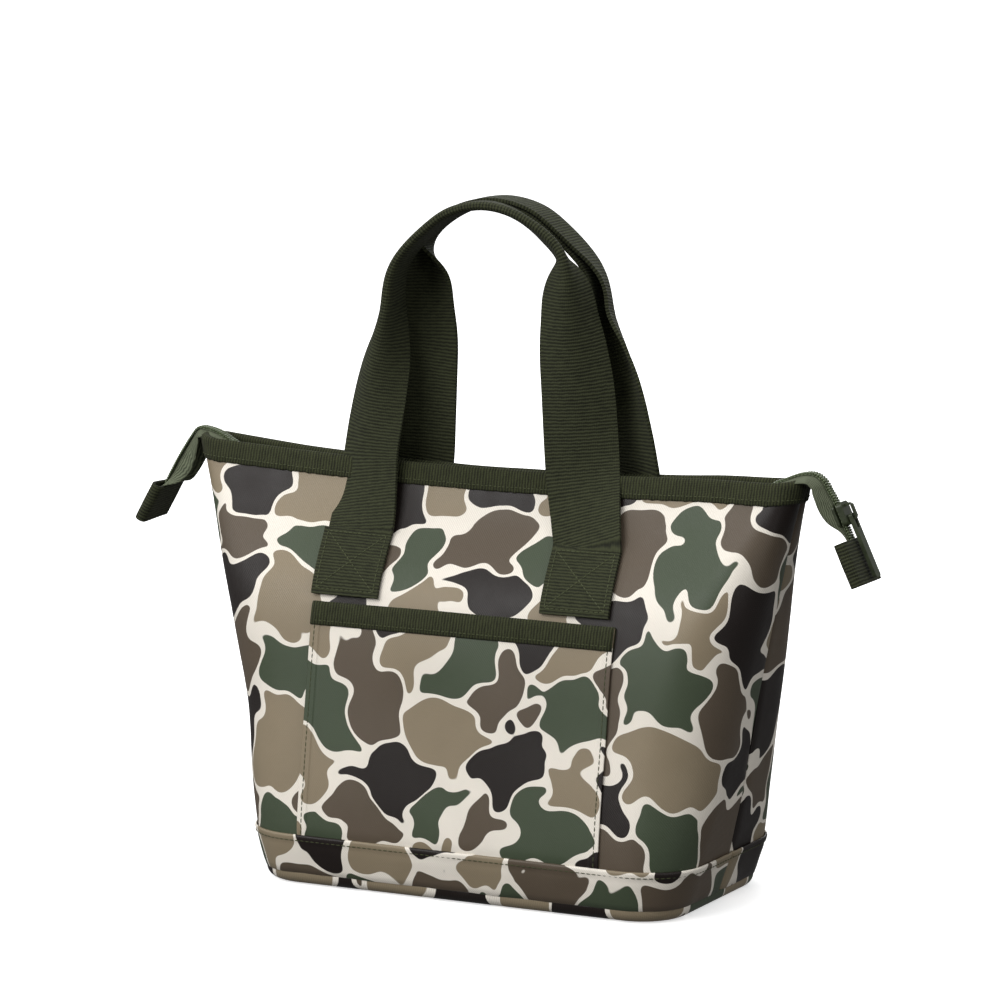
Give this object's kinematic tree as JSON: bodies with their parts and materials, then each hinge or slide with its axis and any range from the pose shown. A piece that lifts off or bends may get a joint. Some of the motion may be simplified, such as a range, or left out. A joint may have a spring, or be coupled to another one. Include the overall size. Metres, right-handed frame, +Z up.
{
  "type": "insulated cooler bag",
  "caption": "Small insulated tote bag with a foam-lined wall, a zipped mouth with loose zip tails, two webbing handles and a front patch pocket.",
  "frame": {"origin": "centre of the flat base, on the surface that the bag stands on", "axes": "+Z up, +X along the mouth's length towards the slider's end, front with the pocket towards -Y"},
  "size_m": [0.4169, 0.133, 0.3523],
  "materials": {
    "camo_fabric": "satin coated woven fabric printed with rounded camouflage blobs",
    "foam": "matte closed-cell foam",
    "liner": "glossy wipe-clean film on fabric",
    "binding": "matte ribbed grosgrain tape",
    "webbing": "matte ribbed webbing",
    "thread": "twisted sewing thread",
    "zip_tape": "woven zip tape with a slight sheen",
    "zip_coil": "moulded nylon coil",
    "slider_metal": "satin painted die-cast metal"
  },
  "bodies": {
    "bag": {"outer_shell_front": "camo_fabric", "outer_shell_back": "camo_fabric", "base_band_front": "camo_fabric", "base_band_back": "camo_fabric", "pocket_panel": "camo_fabric", "outer_base": "camo_fabric", "foam_front": "foam", "foam_back": "foam", "foam_base": "foam", "liner_front": "liner", "liner_back": "liner", "liner_base": "liner", "zip_facing_front": "liner", "zip_facing_back": "liner", "top_binding_front": "binding", "top_binding_back": "binding", "pocket_binding": "binding", "handle_end_front_left": "webbing", "handle_end_front_right": "webbing", "handle_end_back_left": "webbing", "handle_end_back_right": "webbing", "handle_stitching_front": "thread", "handle_stitching_back": "thread", "zip_tape_front": "zip_tape", "zip_tape_back": "zip_tape", "zip_coil_front": "zip_coil", "zip_coil_back": "zip_coil"},
    "front_handle": {"front_handle_loop": "webbing"},
    "back_handle": {"back_handle_loop": "webbing"},
    "zip_tail_left": {"zip_tab_left": "webbing", "zip_tape_front_left_tail": "zip_tape", "zip_tape_back_left_tail": "zip_tape", "zip_coil_front_left_tail": "zip_coil", "zip_coil_back_left_tail": "zip_coil"},
    "zip_tail_right": {"zip_tab_right": "webbing", "zip_tape_front_right_tail": "zip_tape", "zip_tape_back_right_tail": "zip_tape", "zip_coil_front_right_tail": "zip_coil", "zip_coil_back_right_tail": "zip_coil"},
    "slider": {"zip_slider": "slider_metal"},
    "pull": {"zip_pull": "slider_metal"}
  },
  "joints": [
    {"name": "front_handle_swing", "type": "hinge", "parent": "bag", "child": "front_handle", "pos_m": [0, -0.03241, 0.18135], "axis": [1, 0, 0], "range_deg": [0, 150]},
    {"name": "back_handle_swing", "type": "hinge", "parent": "bag", "child": "back_handle", "pos_m": [0, 0.03241, 0.18135], "axis": [-1, 0, 0], "range_deg": [0, 150]},
    {"name": "left_tail_lift", "type": "hinge", "parent": "bag", "child": "zip_tail_left", "pos_m": [-0.181, 0, 0.221], "axis": [0, 1, 0], "range_deg": [0, 60]},
    {"name": "right_tail_lift", "type": "hinge", "parent": "bag", "child": "zip_tail_right", "pos_m": [0.176, 0, 0.221], "axis": [0, -1, 0], "range_deg": [0, 65]},
    {"name": "slider_travel", "type": "slide", "parent": "zip_tail_right", "child": "slider", "axis": [-0.4226, 0, 0.9063], "range_m": [0, 0.0135]},
    {"name": "pull_swing", "type": "hinge", "parent": "slider", "child": "pull", "pos_m": [0.19083, 0, 0.20221], "axis": [0, -1, 0], "range_deg": [0, 150]}
  ]
}
